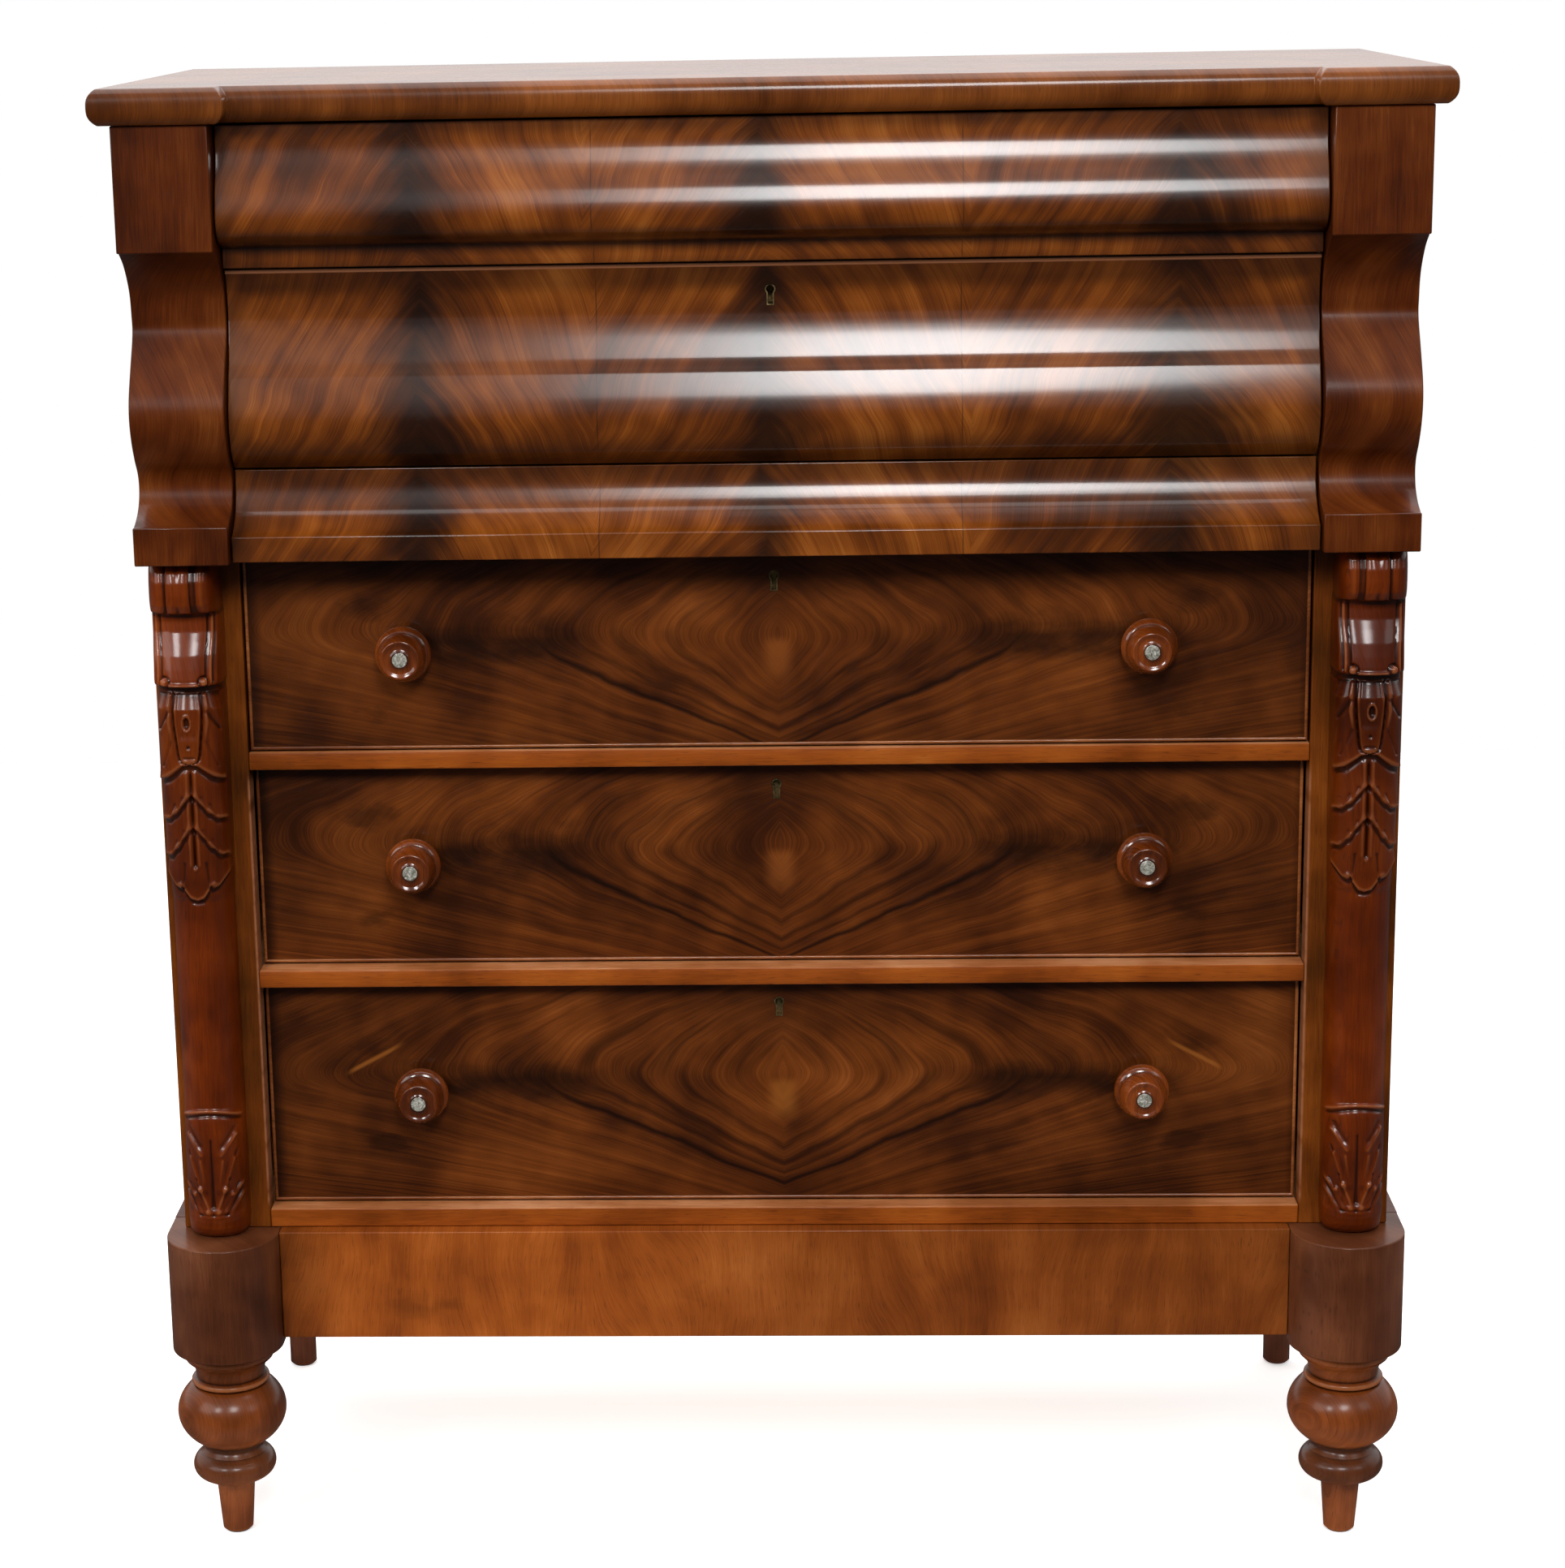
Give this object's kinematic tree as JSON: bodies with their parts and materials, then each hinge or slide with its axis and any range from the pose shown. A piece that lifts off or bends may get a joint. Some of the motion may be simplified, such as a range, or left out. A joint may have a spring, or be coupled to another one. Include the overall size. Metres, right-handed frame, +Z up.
{
  "type": "chest of drawers",
  "caption": "Tall mahogany chest with ogee trusses, carved pilasters, shaped upper drawers, long knobbed drawers and turned feet.",
  "frame": {"origin": "on the floor, under the middle of the top's width and depth", "axes": "+X to the right seen from the front, +Y to the back, +Z up; the drawers open towards -Y"},
  "size_m": [1.24, 0.519, 1.455],
  "materials": {
    "case_mahogany": "polished red-brown mahogany, worn at the edges",
    "carved_mahogany": "dark polished mahogany, straight grain",
    "flame_veneer": "polished flame veneer",
    "rail_mahogany": "satin light mahogany",
    "turned_mahogany": "polished turned mahogany",
    "pine": "bare pine, darkened with age",
    "brass": "dull old brass",
    "steel": "worn grey iron",
    "pearl": "mother of pearl"
  },
  "bodies": {
    "case": {"top_slab": "case_mahogany", "side_panel_left": "case_mahogany", "side_panel_right": "case_mahogany", "stile_left": "case_mahogany", "stile_right": "case_mahogany", "truss_left": "carved_mahogany", "truss_right": "carved_mahogany", "pilaster_left": "carved_mahogany", "pilaster_right": "carved_mahogany", "plinth_board": "flame_veneer", "plinth_block_left": "carved_mahogany", "plinth_block_right": "carved_mahogany", "plinth_return_left": "case_mahogany", "plinth_return_right": "case_mahogany", "front_foot_left": "turned_mahogany", "front_foot_right": "turned_mahogany", "rear_foot_left": "turned_mahogany", "rear_foot_right": "turned_mahogany", "back_panel": "pine", "bottom_board": "pine", "bottom_rail": "rail_mahogany", "middle_drawer_rail": "rail_mahogany", "upper_drawer_rail": "rail_mahogany", "middle_dust_panel": "pine", "upper_dust_panel": "pine", "shallow_shelf": "pine", "hat_shelf": "pine", "frieze_shelf": "pine"},
    "lower_drawer": {"lower_drawer_front": "flame_veneer", "lower_drawer_frame": "pine", "lower_drawer_bottom": "pine", "lower_knob_left": "turned_mahogany", "lower_knob_right": "turned_mahogany", "lower_drawer_lock": "brass"},
    "middle_drawer": {"middle_drawer_front": "flame_veneer", "middle_drawer_frame": "pine", "middle_drawer_bottom": "pine", "middle_knob_left": "turned_mahogany", "middle_knob_right": "turned_mahogany", "middle_drawer_lock": "brass"},
    "upper_drawer": {"upper_drawer_front": "flame_veneer", "upper_drawer_frame": "pine", "upper_drawer_bottom": "pine", "upper_knob_left": "turned_mahogany", "upper_knob_right": "turned_mahogany", "upper_drawer_lock": "brass"},
    "shallow_drawer": {"shallow_drawer_front": "flame_veneer", "shallow_drawer_frame": "pine", "shallow_drawer_bottom": "pine"},
    "hat_drawer": {"hat_drawer_front": "flame_veneer", "hat_drawer_frame": "pine", "hat_drawer_bottom": "pine", "hat_drawer_lock": "brass"},
    "frieze_drawer": {"frieze_drawer_front": "flame_veneer", "frieze_drawer_frame": "pine", "frieze_drawer_bottom": "pine"},
    "lower_bolt": {"lower_lock_bolt": "steel"},
    "middle_bolt": {"middle_lock_bolt": "steel"},
    "upper_bolt": {"upper_lock_bolt": "steel"},
    "hat_bolt": {"hat_lock_bolt": "steel"}
  },
  "joints": [
    {"name": "lower_drawer_slide", "type": "slide", "parent": "case", "child": "lower_drawer", "axis": [0, -1, 0], "range_m": [0, 0.33]},
    {"name": "middle_drawer_slide", "type": "slide", "parent": "case", "child": "middle_drawer", "axis": [0, -1, 0], "range_m": [0, 0.33]},
    {"name": "upper_drawer_slide", "type": "slide", "parent": "case", "child": "upper_drawer", "axis": [0, -1, 0], "range_m": [0, 0.33]},
    {"name": "shallow_drawer_slide", "type": "slide", "parent": "case", "child": "shallow_drawer", "axis": [0, -1, 0], "range_m": [0, 0.33]},
    {"name": "hat_drawer_slide", "type": "slide", "parent": "case", "child": "hat_drawer", "axis": [0, -1, 0], "range_m": [0, 0.33]},
    {"name": "frieze_drawer_slide", "type": "slide", "parent": "case", "child": "frieze_drawer", "axis": [0, -1, 0], "range_m": [0, 0.33]},
    {"name": "lower_bolt_slide", "type": "slide", "parent": "lower_drawer", "child": "lower_bolt", "axis": [0, 0, 1], "range_m": [0, 0.008]},
    {"name": "middle_bolt_slide", "type": "slide", "parent": "middle_drawer", "child": "middle_bolt", "axis": [0, 0, 1], "range_m": [0, 0.008]},
    {"name": "upper_bolt_slide", "type": "slide", "parent": "upper_drawer", "child": "upper_bolt", "axis": [0, 0, 1], "range_m": [0, 0.008]},
    {"name": "hat_bolt_slide", "type": "slide", "parent": "hat_drawer", "child": "hat_bolt", "axis": [0, 0, 1], "range_m": [0, 0.008]}
  ]
}
